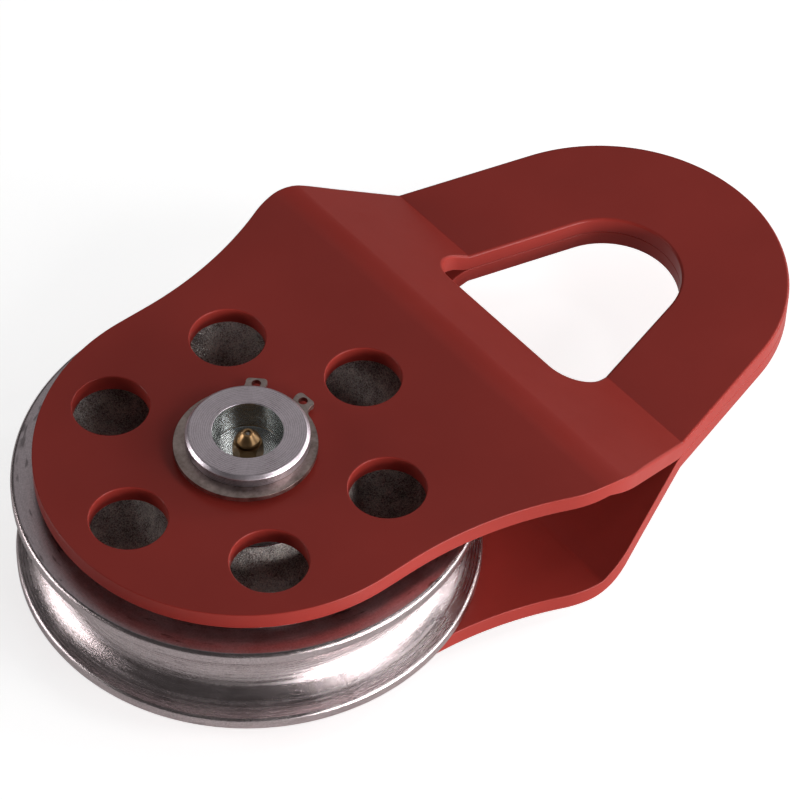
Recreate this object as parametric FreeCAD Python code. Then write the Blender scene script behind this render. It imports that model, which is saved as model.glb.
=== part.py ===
import FreeCAD, Part
import math
import os

from FreeCAD import Vector

# Snatch block: two bent cheek plates that swing on one greased axle, with a grooved
# sheave between them. Opening the cheeks lets a rope in sideways; a shackle through
# both eyes locks them shut.
# Millimetres. +Z runs up the axle, +X from the axle to the shackle eye. The origin is
# the centre of the axle's lower end face.

os.makedirs("parts", exist_ok=True)

# Cheek plates
plate_thickness = 5.0
cheek_gap = 35.0              # between the flat inner faces beside the sheave
nose_radius = 55.0            # rounded end, about the axle
nose_run = 8.7                # straight sides from the nose to the flare
flare_radius = 107.0          # hollow curve from the nose out to the shoulders
shoulder_radius = 30.0
shoulder_half_width = 67.3
eye_half_width = 58.4         # where the plate bends level again
slope_start = 65.4            # where the plate bends inwards, from the axle
slope_end = 98.4              # where it bends level again, ahead of the eye
shoulder_bend = 15.0          # inside radius of the wide bend at the shoulders
eye_bend = 2.0                # inside radius of the sharp bend at the eye
edge_round = 0.6              # paint-softened outline and eye
hole_round = 0.4              # edges of the round holes

# Shackle eye
eye_centre = 124.0            # centre of both arches, from the axle
eye_outer_radius = 49.5
eye_band = 29.4               # width of the metal round the opening
eye_base = 84.8               # straight end of the opening, up on the slope
eye_corner_radius = 8.5

# Lightening holes in the cheeks
hole_count = 6
hole_radius = 10.0
hole_circle_radius = 38.0

# Axle
axle_radius = 16.0
axle_chamfer = 0.8
axle_land = 3.3               # solid end beyond each ring groove
ring_groove_radius = 15.15
recess_radius = 9.15
recess_depth = 8.8
axial_play = 1.3              # slack of the cheeks between the two rings
grease_drilling_radius = 2.0

# Retaining rings
ring_thickness = 1.5
ring_back_width = 4.6         # opposite the gap
ring_front_width = 2.1        # beside the lugs
ring_heading = 24.7           # direction of the gap, degrees from +X
lug_angle = 20.7              # each lug's pliers hole, either side of the gap
lug_reach = 5.8               # from the ring's inside to the lug's tip
lug_width = 5.6
lug_corner = 1.1
lug_root_round = 2.6          # hollow where a lug's outer side meets the ring
pliers_hole_radius = 1.25
pliers_hole_reach = 3.9       # from the ring's inside

# Sheave
sheave_radius = 61.0
rim_width = 30.3
groove_root_radius = 51.5
groove_width = 22.7
rim_face_inner_radius = 52.0  # machined side face of the rim ends here
rim_wall_inner_radius = 44.0  # foot of the drafted inner wall, at the web
web_thickness = 9.0
hub_radius = 26.0
hub_foot_radius = 28.5
lip_outer_round = 1.2
lip_inner_round = 1.2
web_fillet = 3.0

# Bush and thrust washers
bush_wall = 3.0
bush_recess = 0.2             # each end lies this far inside the hub
bush_groove_depth = 0.8
bush_groove_width = 4.0
washer_radius = 25.0
washer_thickness = 1.5

# Grease nipple
hex_across_flats = 7.0
hex_height = 4.6
hex_heading = 22.9            # of one corner, as the thread happens to tighten
hex_bevel_depth = 1.2         # lead-in round the top, at the corners
neck_radius = 2.3
neck_height = 0.4
head_radius = 3.25
head_band = 0.7               # straight part of the head
head_height = 2.9
head_tip_radius = 1.55
head_round = 1.2              # between the head's band and its cone
shank_radius = 3.0
shank_length = 5.5
shank_lead_in = 0.5
spring_bore_radius = 1.35
tip_wall = 0.5
crimp_wall = 0.5
crimp_hole_radius = 0.8
ball_radius = 1.2
tip_hole_radius = 0.85
spring_wire_radius = 0.16
spring_turns = 5

# Clearances
bore_clearance = 0.08         # cheeks and washers on the axle, on the radius
bush_clearance = 0.05         # bush on the axle, on the radius
side_play = 2.5               # above the sheave, which rests low between the cheeks
groove_clearance = 0.1        # ring in its groove, along the axle
ball_clearance = 0.06         # ball under its seat when closed
spring_clearance = 0.12       # spring inside its bore

# Levels along the axle, from the lower end up
lower_ring_bottom = axle_land
lower_cheek_bottom = lower_ring_bottom + ring_thickness
lower_inner_face = lower_cheek_bottom + plate_thickness
upper_inner_face = lower_inner_face + cheek_gap
upper_cheek_top = upper_inner_face + plate_thickness
upper_ring_bottom = upper_cheek_top + axial_play
axle_length = upper_ring_bottom + ring_thickness + groove_clearance + axle_land
middle = (lower_inner_face + upper_inner_face) / 2
hub_width = cheek_gap - 2 * washer_thickness - side_play
hub_bottom = lower_inner_face + washer_thickness
sheave_middle = hub_bottom + hub_width / 2
bush_outer_radius = axle_radius + bush_clearance + bush_wall
recess_floor = axle_length - recess_depth

up = Vector(0, 0, 1)
across = Vector(0, 1, 0)
origin = Vector(0, 0, 0)


def line(a, b):
    return Part.LineSegment(a, b).toShape()


def arc(a, b, c):
    return Part.Arc(a, b, c).toShape()


def polar(centre, radius, degrees):
    turn = math.radians(degrees)
    return centre + Vector(radius * math.cos(turn), radius * math.sin(turn), 0)


def tube(outer, inner, bottom, height):
    solid = Part.makeCylinder(outer, height, Vector(0, 0, bottom))
    return solid.cut(Part.makeCylinder(inner, height, Vector(0, 0, bottom)))


def turned(points):
    """Solid turned about the axle from (radius, height) points."""
    corners = [Vector(radius, 0, height) for radius, height in points]
    profile = Part.Face(Part.makePolygon(corners + corners[:1]))
    return profile.revolve(origin, up, 360)


def ring_edges(shape, radius, height):
    """Circular edges about the axle at one radius and height."""
    found = []
    for edge in shape.Edges:
        if not isinstance(edge.Curve, Part.Circle):
            continue
        centre = edge.Curve.Center
        on_axis = math.hypot(centre.x, centre.y) < 1e-6
        if on_axis and abs(edge.Curve.Radius - radius) < 1e-4 and abs(centre.z - height) < 1e-4:
            found.append(edge)
    return found


def tangent_points(centre_a, radius_a, centre_b, radius_b):
    """Ends of the line that touches two circles on their +Y side, and its normal."""
    run = centre_b - centre_a
    heading = math.atan2(run.y, run.x) + math.asin((radius_b - radius_a) / run.Length)
    normal = Vector(-math.sin(heading), math.cos(heading), 0)
    return centre_a + normal * radius_a, centre_b + normal * radius_b, normal


def cheek_outline():
    """Plan of a cheek: nose, hollow flares, round shoulders and tapering eye."""
    flare_centre = Vector(nose_run, nose_radius + flare_radius, 0)
    shoulder_y = shoulder_half_width - shoulder_radius
    reach = flare_radius + shoulder_radius
    shoulder_x = nose_run + math.sqrt(reach ** 2 - (flare_centre.y - shoulder_y) ** 2)
    shoulder_centre = Vector(shoulder_x, shoulder_y, 0)
    eye = Vector(eye_centre, 0, 0)

    nose_side = Vector(0, nose_radius, 0)
    flare_start = Vector(nose_run, nose_radius, 0)
    towards = (shoulder_centre - flare_centre).normalize()
    flare_end = flare_centre + towards * flare_radius
    kink = Vector(slope_end, eye_half_width, 0)
    side_start, _, slope_normal = tangent_points(shoulder_centre, shoulder_radius, kink, 0)
    _, side_end, normal = tangent_points(kink, 0, eye, eye_outer_radius)
    flare_middle = flare_centre + (flare_start + flare_end - flare_centre * 2).normalize() * flare_radius
    bulge = (slope_normal - towards).normalize()
    shoulder_middle = shoulder_centre + bulge * shoulder_radius

    half = [
        line(nose_side, flare_start),
        arc(flare_start, flare_middle, flare_end),
        arc(flare_end, shoulder_middle, side_start),
        line(side_start, kink),
        line(kink, side_end),
    ]
    other = [edge.mirror(origin, across) for edge in half]
    nose = arc(nose_side, Vector(-nose_radius, 0, 0), Vector(0, -nose_radius, 0))
    far_end = Vector(eye_centre + eye_outer_radius, 0, 0)
    crown = arc(side_end, far_end, Vector(side_end.x, -side_end.y, 0))
    wire = Part.Wire(Part.__sortEdges__(half + other + [nose, crown]))
    return Part.Face(wire), normal


def eye_opening(normal, bottom, height):
    """Arched opening whose sides run parallel to the outside of the eye."""
    radius = eye_outer_radius - eye_band
    eye = Vector(eye_centre, 0, 0)
    side_end = eye + normal * radius
    along = Vector(normal.y, -normal.x, 0)
    side_start = side_end - along * ((side_end.x - eye_base) / along.x)
    corners = [side_start, side_end, Vector(side_end.x, -side_end.y, 0),
               Vector(side_start.x, -side_start.y, 0)]
    edges = [
        line(corners[0], corners[1]),
        arc(corners[1], Vector(eye_centre + radius, 0, 0), corners[2]),
        line(corners[2], corners[3]),
        line(corners[3], corners[0]),
    ]
    face = Part.Face(Part.Wire(edges))
    face.translate(Vector(0, 0, bottom))
    solid = face.extrude(Vector(0, 0, height))
    posts = [edge for edge in solid.Edges
             if abs(edge.BoundBox.XMin - eye_base) < 1e-6
             and abs(edge.BoundBox.XMax - eye_base) < 1e-6
             and edge.BoundBox.ZLength > height / 2]
    return solid.makeFillet(eye_corner_radius, posts)


def bent_strip():
    """Side view of the upper cheek, wide enough for the whole plan."""
    eye_top = middle + plate_thickness
    slope = math.atan2(upper_cheek_top - eye_top, slope_end - slope_start)
    shift = plate_thickness * math.tan(slope / 2)
    back = -nose_radius - plate_thickness
    front = eye_centre + eye_outer_radius + plate_thickness
    half = shoulder_half_width + plate_thickness
    corners = [
        Vector(back, -half, upper_cheek_top),
        Vector(slope_start, -half, upper_cheek_top),
        Vector(slope_end, -half, eye_top),
        Vector(front, -half, eye_top),
        Vector(front, -half, middle),
        Vector(slope_end - shift, -half, middle),
        Vector(slope_start - shift, -half, upper_inner_face),
        Vector(back, -half, upper_inner_face),
    ]
    strip = Part.Face(Part.makePolygon(corners + corners[:1])).extrude(across * (2 * half))
    bends = [
        (corners[1], shoulder_bend + plate_thickness),
        (corners[6], shoulder_bend),
        (corners[2], eye_bend),
        (corners[5], eye_bend + plate_thickness),
    ]
    for corner, radius in bends:
        edges = [edge for edge in strip.Edges
                 if edge.BoundBox.YLength > half
                 and abs(edge.CenterOfMass.x - corner.x) < 1e-6
                 and abs(edge.CenterOfMass.z - corner.z) < 1e-6]
        strip = strip.makeFillet(radius, edges)
    return strip


def softened(cheek):
    """Rounds every edge where a plate face meets the cut outline, eye or a hole."""
    outline = []
    holes = []
    for edge in cheek.Edges:
        faces = cheek.ancestorsOfType(edge, Part.Face)
        walls = [upright(face) for face in faces]
        if len(walls) == 2 and walls[0] != walls[1]:
            closed = edge.firstVertex().isSame(edge.lastVertex())
            (holes if closed else outline).append(edge)
    cheek = cheek.makeFillet(edge_round, outline)
    holes = [edge for edge in cheek.Edges if any(edge.isSame(hole) for hole in holes)]
    return cheek.makeFillet(hole_round, holes)


def upright(face):
    """True for the cut walls of a cheek, false for its broad faces."""
    low_u, high_u, low_v, high_v = face.ParameterRange
    normal = face.normalAt((low_u + high_u) / 2, (low_v + high_v) / 2)
    return abs(normal.z) < 0.3


def upper_cheek():
    outline, normal = cheek_outline()
    outline.translate(Vector(0, 0, middle - plate_thickness))
    height = upper_cheek_top - middle + 2 * plate_thickness
    cheek = bent_strip().common(outline.extrude(Vector(0, 0, height)))
    cheek = cheek.cut(eye_opening(normal, middle - plate_thickness, height))
    bottom = Vector(0, 0, middle)
    cheek = cheek.cut(Part.makeCylinder(axle_radius + bore_clearance, height, bottom))
    for index in range(hole_count):
        spot = polar(bottom, hole_circle_radius, index * 360 / hole_count)
        cheek = cheek.cut(Part.makeCylinder(hole_radius, height, spot))
    return softened(cheek)


def lower_cheek(upper):
    return upper.mirror(Vector(0, 0, middle), up)


def axle():
    points = [
        (0, 0),
        (axle_radius - axle_chamfer, 0),
        (axle_radius, axle_chamfer),
        (axle_radius, axle_length - axle_chamfer),
        (axle_radius - axle_chamfer, axle_length),
        (0, axle_length),
    ]
    pin = turned(points)
    groove_height = ring_thickness + groove_clearance
    for bottom in (lower_ring_bottom, upper_ring_bottom):
        pin = pin.cut(tube(axle_radius + 1, ring_groove_radius, bottom, groove_height))
    pin = pin.cut(Part.makeCylinder(recess_radius, recess_depth, Vector(0, 0, recess_floor)))
    thread_depth = shank_length + 1
    pin = pin.cut(Part.makeCylinder(shank_radius, thread_depth, Vector(0, 0, recess_floor - thread_depth)))
    gallery = recess_floor - sheave_middle + grease_drilling_radius
    start = Vector(0, 0, sheave_middle - grease_drilling_radius)
    pin = pin.cut(Part.makeCylinder(grease_drilling_radius, gallery, start))
    port = Part.makeCylinder(grease_drilling_radius, axle_radius + 1, Vector(0, 0, sheave_middle), across)
    return pin.cut(port)


def circlip(bottom):
    """External retaining ring, wide at the back, with two lugs for pliers."""
    inner = ring_groove_radius
    radius = inner + (ring_back_width + ring_front_width) / 2
    offset = (ring_back_width - ring_front_width) / 2
    centre = Vector(-offset, 0, 0)
    ring = Part.makeCylinder(radius, ring_thickness, centre)
    reach = inner + pliers_hole_reach
    lug_length = lug_reach + ring_front_width / 2
    for side in (1, -1):
        lug = Part.makeBox(lug_length, lug_width, ring_thickness,
                           Vector(inner + lug_reach - lug_length, -lug_width / 2, 0))
        tips = [edge for edge in lug.Edges
                if edge.BoundBox.ZLength > ring_thickness / 2
                and abs(edge.BoundBox.XMax - inner - lug_reach) < 1e-6]
        lug = lug.makeFillet(lug_corner, tips)
        lug.rotate(origin, up, side * lug_angle)
        ring = ring.fuse(lug)
    ring = ring.removeSplitter()
    outer_y = reach * math.sin(math.radians(lug_angle))
    roots = [edge for edge in ring.Edges
             if edge.BoundBox.ZLength > ring_thickness / 2
             and abs(edge.CenterOfMass.y) > outer_y
             and abs((edge.CenterOfMass - centre).x ** 2 + edge.CenterOfMass.y ** 2 - radius ** 2) < 0.1]
    ring = ring.makeFillet(lug_root_round, roots)
    ring = ring.cut(Part.makeCylinder(inner, ring_thickness))
    gap_half = math.radians(lug_angle) * reach - lug_width / 2
    gap = Part.makeBox(inner + lug_reach, 2 * gap_half, ring_thickness,
                       Vector(inner / 2, -gap_half, 0))
    ring = ring.cut(gap)
    for side in (1, -1):
        spot = polar(origin, reach, side * lug_angle)
        ring = ring.cut(Part.makeCylinder(pliers_hole_radius, ring_thickness, spot))
    ring.rotate(origin, up, ring_heading)
    ring.translate(Vector(0, 0, bottom))
    return ring


def sheave():
    """Cast and turned wheel: round rope groove, drafted rim, thin web and hub."""
    half_rim = rim_width / 2
    half_web = web_thickness / 2
    half_hub = hub_width / 2
    half_groove = groove_width / 2
    side = [
        (bush_outer_radius, half_hub),
        (hub_radius, half_hub),
        (hub_foot_radius, half_web),
        (rim_wall_inner_radius, half_web),
        (rim_face_inner_radius, half_rim),
        (sheave_radius, half_rim),
        (sheave_radius, half_groove),
    ]
    below = [Vector(radius, 0, sheave_middle - level) for radius, level in side]
    above = [Vector(radius, 0, sheave_middle + level) for radius, level in reversed(side)]
    edges = [line(a, b) for a, b in zip(below, below[1:])]
    edges.append(arc(below[-1], Vector(groove_root_radius, 0, sheave_middle), above[0]))
    edges += [line(a, b) for a, b in zip(above, above[1:])]
    edges.append(line(above[-1], below[0]))
    wheel = Part.Face(Part.Wire(edges)).revolve(origin, up, 360)
    rounds = [
        (sheave_radius, half_rim, lip_outer_round),
        (sheave_radius, half_groove, lip_inner_round),
        (rim_wall_inner_radius, half_web, web_fillet),
        (hub_foot_radius, half_web, web_fillet),
    ]
    for radius, level, fillet in rounds:
        for sign in (1, -1):
            wheel = wheel.makeFillet(fillet, ring_edges(wheel, radius, sheave_middle + sign * level))
    return wheel


def bush():
    """Bronze bush with a grease groove opposite the axle's port."""
    height = hub_width - 2 * bush_recess
    inner = axle_radius + bush_clearance
    sleeve = tube(bush_outer_radius, inner, hub_bottom + bush_recess, height)
    bottom = sheave_middle - bush_groove_width / 2
    return sleeve.cut(tube(inner + bush_groove_depth, inner / 2, bottom, bush_groove_width))


def thrust_washer(bottom):
    return tube(washer_radius, axle_radius + bore_clearance, bottom, washer_thickness)


def nipple_levels():
    hex_top = recess_floor + hex_height
    head_bottom = hex_top + neck_height
    tip = head_bottom + head_height
    shank_end = recess_floor - shank_length
    return shank_end, hex_top, head_bottom, tip


def grease_nipple():
    shank_end, hex_top, head_bottom, tip = nipple_levels()
    flat = hex_across_flats / 2
    corner = flat / math.cos(math.pi / 6)
    foot = Vector(0, 0, recess_floor)
    points = [polar(foot, corner, hex_heading + 60 * index) for index in range(6)]
    hexagon = Part.Face(Part.makePolygon(points + points[:1])).extrude(Vector(0, 0, hex_height))
    bevelled = [
        (0, recess_floor),
        (corner, recess_floor),
        (corner, hex_top - hex_bevel_depth),
        (flat, hex_top),
        (0, hex_top),
    ]
    hexagon = hexagon.common(turned(bevelled))
    body = [
        (0, shank_end),
        (shank_radius - shank_lead_in, shank_end),
        (shank_radius, shank_end + shank_lead_in),
        (shank_radius, recess_floor),
        (neck_radius, recess_floor),
        (neck_radius, head_bottom),
        (head_radius - neck_height / 2, head_bottom),
        (head_radius, head_bottom + neck_height / 2),
        (head_radius, head_bottom + head_band),
        (head_tip_radius, tip - tip_wall / 2),
        (head_tip_radius - tip_wall / 2, tip),
        (0, tip),
    ]
    nipple = hexagon.fuse(turned(body)).removeSplitter()
    nipple = nipple.makeFillet(head_round, ring_edges(nipple, head_radius, head_bottom + head_band))
    bore_bottom = shank_end + crimp_wall
    bore_length = tip - tip_wall - bore_bottom
    nipple = nipple.cut(Part.makeCylinder(spring_bore_radius, bore_length, Vector(0, 0, bore_bottom)))
    nipple = nipple.cut(Part.makeCylinder(tip_hole_radius, tip_wall, Vector(0, 0, tip - tip_wall)))
    return nipple.cut(Part.makeCylinder(crimp_hole_radius, crimp_wall, Vector(0, 0, shank_end)))


def ball_centre():
    tip = nipple_levels()[3]
    seat = math.sqrt(ball_radius ** 2 - tip_hole_radius ** 2)
    return tip - tip_wall - seat - ball_clearance


def nipple_ball():
    return Part.makeSphere(ball_radius, Vector(0, 0, ball_centre()))


def nipple_spring():
    """Coil from the crimped end of the nipple's bore up to the ball."""
    bottom = nipple_levels()[0] + crimp_wall + spring_wire_radius
    coil_radius = spring_bore_radius - spring_clearance - spring_wire_radius
    contact = math.sqrt((ball_radius + spring_wire_radius) ** 2 - coil_radius ** 2)
    height = ball_centre() - contact - bottom
    helix = Part.makeHelix(height / spring_turns, height, coil_radius)
    helix.translate(Vector(0, 0, bottom))
    start = Vector(coil_radius, 0, bottom)
    section = Part.Wire(Part.makeCircle(spring_wire_radius, start, across))
    return Part.Wire(helix).makePipeShell([section], True, True)


upper = upper_cheek()
nodes = {
    "upper_cheek": upper,
    "lower_cheek": lower_cheek(upper),
    "axle_pin": axle(),
    "upper_circlip": circlip(upper_ring_bottom),
    "lower_circlip": circlip(lower_ring_bottom),
    "sheave": sheave(),
    "sheave_bush": bush(),
    "upper_thrust_washer": thrust_washer(hub_bottom + hub_width),
    "lower_thrust_washer": thrust_washer(lower_inner_face),
    "grease_nipple": grease_nipple(),
    "nipple_ball": nipple_ball(),
    "nipple_spring": nipple_spring(),
}

for name, shape in nodes.items():
    shape.exportStep("parts/" + name + ".step")
    box = shape.BoundBox
    print(name, "solids", len(shape.Solids), "valid", shape.isValid(), "volume", round(shape.Volume, 2),
          "x", round(box.XMin, 2), round(box.XMax, 2), "y", round(box.YMin, 2), round(box.YMax, 2),
          "z", round(box.ZMin, 2), round(box.ZMax, 2))
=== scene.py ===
import math

import bpy
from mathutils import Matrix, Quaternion, Vector


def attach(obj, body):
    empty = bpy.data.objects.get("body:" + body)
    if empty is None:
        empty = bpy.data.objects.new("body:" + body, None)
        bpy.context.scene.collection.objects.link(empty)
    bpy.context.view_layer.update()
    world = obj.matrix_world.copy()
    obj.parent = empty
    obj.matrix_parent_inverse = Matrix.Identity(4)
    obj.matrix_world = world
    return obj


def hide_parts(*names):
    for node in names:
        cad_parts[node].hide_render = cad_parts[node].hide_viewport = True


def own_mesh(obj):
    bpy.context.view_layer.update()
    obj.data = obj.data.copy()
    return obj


# Snatch block: two bent red cheek plates on one greased axle, with a plated sheave between them.
# Metres. +Z runs up the axle, +X runs from the axle to the shackle eye.

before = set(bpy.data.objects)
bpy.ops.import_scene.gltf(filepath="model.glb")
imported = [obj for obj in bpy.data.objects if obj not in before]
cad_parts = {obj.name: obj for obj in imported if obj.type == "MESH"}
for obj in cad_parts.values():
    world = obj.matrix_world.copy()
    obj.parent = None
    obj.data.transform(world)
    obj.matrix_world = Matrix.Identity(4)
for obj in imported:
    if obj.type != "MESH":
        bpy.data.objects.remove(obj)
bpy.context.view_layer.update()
print("frame loaded")


# Small tools used by every piece

def deselectAll():
    if bpy.context.mode != "OBJECT":
        bpy.ops.object.mode_set(mode="OBJECT")
    bpy.ops.object.select_all(action="DESELECT")


def makeActive(piece):
    deselectAll()
    piece.select_set(True)
    bpy.context.view_layer.objects.active = piece


def enterEdit(piece, kind, selection="SELECT"):
    makeActive(piece)
    bpy.ops.object.mode_set(mode="EDIT")
    bpy.ops.mesh.select_mode(type=kind)
    bpy.ops.mesh.select_all(action=selection)


def leaveEdit():
    bpy.ops.object.mode_set(mode="OBJECT")


def applyTransform(piece):
    makeActive(piece)
    bpy.ops.object.transform_apply(location=True, rotation=True, scale=True)


def turnAboutAxle(piece, degrees):
    piece.rotation_euler = (0, 0, math.radians(degrees))
    applyTransform(piece)


def applyModifier(piece, modifier):
    makeActive(piece)
    bpy.ops.object.modifier_apply(modifier=modifier.name)


def selectEdges(piece, wanted):
    # wanted is given the two ends of each edge; the piece stays in edit mode for the bevel that follows
    enterEdit(piece, "EDGE", "DESELECT")
    leaveEdit()
    points = [vertex.co for vertex in piece.data.vertices]
    for edge in piece.data.edges:
        edge.select = wanted(points[edge.vertices[0]], points[edge.vertices[1]])
    bpy.ops.object.mode_set(mode="EDIT")


def drawPath(name, points):
    # one vertex, extruded from point to point like a pen, then closed and filled
    deselectAll()
    bpy.ops.mesh.primitive_plane_add(size=0.001)
    piece = bpy.context.object
    piece.name = name
    bpy.ops.object.mode_set(mode="EDIT")
    bpy.ops.mesh.select_mode(type="VERT")
    bpy.ops.mesh.select_all(action="SELECT")
    bpy.ops.mesh.merge(type="CENTER")
    bpy.ops.transform.translate(value=points[0])
    for start, end in zip(points, points[1:]):
        bpy.ops.mesh.extrude_vertices_move(TRANSFORM_OT_translate={"value": end - start})
    bpy.ops.mesh.select_all(action="SELECT")
    bpy.ops.mesh.edge_face_add()
    leaveEdit()
    return piece


def arcPoints(centre, radius, startAngle, endAngle, steps):
    points = []
    for step in range(steps + 1):
        angle = startAngle + (endAngle - startAngle) * step / steps
        points.append(centre + Vector((math.cos(angle), math.sin(angle), 0)) * radius)
    return points


def roundedPath(corners, steps):
    # corners are (x, y, radius); each is replaced by an arc that touches both its sides
    points = []
    for index, (x, y, radius) in enumerate(corners):
        corner = Vector((x, y, 0))
        before = Vector((*corners[index - 1][:2], 0))
        after = Vector((*corners[(index + 1) % len(corners)][:2], 0))
        if radius == 0:
            points.append(corner)
            continue
        back = (before - corner).normalized()
        ahead = (after - corner).normalized()
        half = back.angle(ahead) / 2
        centre = corner + (back + ahead).normalized() * radius / math.sin(half)
        first = corner + back * radius / math.tan(half) - centre
        last = corner + ahead * radius / math.tan(half) - centre
        turn = first.angle(last)
        if first.cross(last).z < 0:
            turn = -turn
        start = math.atan2(first.y, first.x)
        points += arcPoints(centre, radius, start, start + turn, steps)
    return points


def upright(points):
    # a path drawn as (radius, height) stands up in the XZ plane
    return [Vector((point.x, 0, point.y)) for point in points]


def tidyMesh(piece, mergeDistance=1e-6):
    enterEdit(piece, "VERT")
    bpy.ops.mesh.remove_doubles(threshold=mergeDistance)
    bpy.ops.mesh.normals_make_consistent(inside=False)
    leaveEdit()


def dropFaces(piece):
    # leaves the edges of an outline
    enterEdit(piece, "VERT")
    bpy.ops.mesh.delete(type="ONLY_FACE")
    leaveEdit()


def pullFaces(piece, move):
    # a flat face becomes a solid
    enterEdit(piece, "FACE")
    bpy.ops.mesh.extrude_region_move(TRANSFORM_OT_translate={"value": move})
    leaveEdit()
    tidyMesh(piece)


def spinPath(name, points, steps):
    # turns a closed (radius, height) outline about the axle
    piece = drawPath(name, upright(points))
    dropFaces(piece)
    enterEdit(piece, "VERT")
    bpy.ops.mesh.spin(steps=steps, angle=2 * math.pi, center=(0, 0, 0), axis=(0, 0, 1))
    leaveEdit()
    tidyMesh(piece)
    enterEdit(piece, "VERT")
    bpy.ops.mesh.delete_loose(use_verts=True, use_edges=True, use_faces=False)
    leaveEdit()
    return piece


def prism(name, points, bottom, height):
    # a flat outline pulled straight up
    piece = drawPath(name, [point + Vector((0, 0, bottom)) for point in points])
    pullFaces(piece, (0, 0, height))
    return piece


def post(name, radius, centre, bottom, height, sides):
    deselectAll()
    place = (centre.x, centre.y, bottom + height / 2)
    bpy.ops.mesh.primitive_cylinder_add(vertices=sides, radius=radius, depth=height, location=place)
    piece = bpy.context.object
    piece.name = name
    applyTransform(piece)
    return piece


def combine(piece, other, operation):
    modifier = piece.modifiers.new("combine", "BOOLEAN")
    modifier.operation = operation
    modifier.solver = "EXACT"
    modifier.object = other
    applyModifier(piece, modifier)
    bpy.data.objects.remove(other)


def bevelSelected(width, segments):
    bpy.ops.mesh.bevel(offset=width, segments=segments, profile=0.5, affect="EDGES", clamp_overlap=False)
    leaveEdit()


def bevelPiece(piece, width, segments, angle=None):
    # rounds the edges sharper than the angle, or without one those that carry a bevel weight
    modifier = piece.modifiers.new("rounds", "BEVEL")
    modifier.limit_method = "WEIGHT"
    if angle is not None:
        modifier.limit_method = "ANGLE"
        modifier.angle_limit = math.radians(angle)
    modifier.width = width
    modifier.segments = segments
    modifier.use_clamp_overlap = False
    modifier.loop_slide = False
    applyModifier(piece, modifier)


def smooth(piece, angle=35):
    makeActive(piece)
    bpy.ops.object.shade_smooth_by_angle(angle=math.radians(angle))
    modifier = piece.modifiers.new("normals", "WEIGHTED_NORMAL")
    modifier.keep_sharp = True
    applyModifier(piece, modifier)


def shareBetween(value, low, high):
    return min(max((value - low) / (high - low), 0), 1)


def finishPiece(piece, body, slotName, material, *replaced):
    piece.data.materials.clear()
    piece.data.materials.append(material)
    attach(piece, body)
    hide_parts(*replaced)


# Materials

def newMaterial(name):
    material = bpy.data.materials.new(name)
    material.use_nodes = True
    tree = material.node_tree
    shader = next(node for node in tree.nodes if node.type == "BSDF_PRINCIPLED")
    return material, tree, shader


def objectPlace(tree):
    return tree.nodes.new("ShaderNodeTexCoord").outputs["Object"]


def mathNode(tree, operation, first, second=None):
    node = tree.nodes.new("ShaderNodeMath")
    node.operation = operation
    for index, value in enumerate((first, second)):
        if value is None:
            continue
        if isinstance(value, (int, float)):
            node.inputs[index].default_value = value
        else:
            tree.links.new(value, node.inputs[index])
    return node.outputs[0]


def weighted(tree, *parts):
    # the sum of the values, each times its share
    total = None
    for value, share in parts:
        scaled = mathNode(tree, "MULTIPLY", value, share)
        total = scaled if total is None else mathNode(tree, "ADD", total, scaled)
    return total


def ringPlace(tree, turnShare):
    # radius and height are constant along a lathe's cut; a little of the angle lets the lines fade
    split = tree.nodes.new("ShaderNodeSeparateXYZ")
    tree.links.new(objectPlace(tree), split.inputs[0])
    x, y, z = split.outputs
    radius = mathNode(tree, "SQRT", weighted(tree, (x, x), (y, y)))
    turn = mathNode(tree, "MULTIPLY", mathNode(tree, "ARCTAN2", y, x), turnShare)
    join = tree.nodes.new("ShaderNodeCombineXYZ")
    for value, socket in zip((radius, turn, z), join.inputs):
        tree.links.new(value, socket)
    return join.outputs[0]


def noise(tree, place, scale, detail=2.0, roughness=0.5):
    node = tree.nodes.new("ShaderNodeTexNoise")
    node.inputs["Scale"].default_value = scale
    node.inputs["Detail"].default_value = detail
    node.inputs["Roughness"].default_value = roughness
    tree.links.new(place, node.inputs["Vector"])
    return node.outputs["Fac"]


def spread(tree, value, low, high, fromLow=0.3, fromHigh=0.7):
    # noise seldom leaves the middle of its range, so that part is stretched
    node = tree.nodes.new("ShaderNodeMapRange")
    node.inputs["From Min"].default_value = fromLow
    node.inputs["From Max"].default_value = fromHigh
    node.inputs["To Min"].default_value = low
    node.inputs["To Max"].default_value = high
    tree.links.new(value, node.inputs["Value"])
    return node.outputs["Result"]


def blendColours(tree, share, first, second):
    # the first may also be another node's output
    node = tree.nodes.new("ShaderNodeMix")
    node.data_type = "RGBA"
    if isinstance(first, tuple):
        node.inputs["A"].default_value = (*first, 1)
    else:
        tree.links.new(first, node.inputs["A"])
    node.inputs["B"].default_value = (*second, 1)
    tree.links.new(share, node.inputs["Factor"])
    return node.outputs["Result"]


def bump(tree, shader, height, distance, under=None):
    node = tree.nodes.new("ShaderNodeBump")
    node.inputs["Strength"].default_value = 1.0
    node.inputs["Distance"].default_value = distance
    tree.links.new(height, node.inputs["Height"])
    if under is not None:
        tree.links.new(under, node.inputs["Normal"])
    tree.links.new(node.outputs["Normal"], shader.inputs["Normal"])
    return node.outputs["Normal"]


redPaintLook = {
    "deepRed": (0.300, 0.0310, 0.0235),
    "lightRed": (0.340, 0.0355, 0.0270),
    "patchScale": 28,
    "gloss": 0.20,
    "roughLow": 0.28,
    "roughHigh": 0.38,
    "roughScale": 90,
    "peelScale": 420,
    "peelDepth": 0.00001,
}


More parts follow.
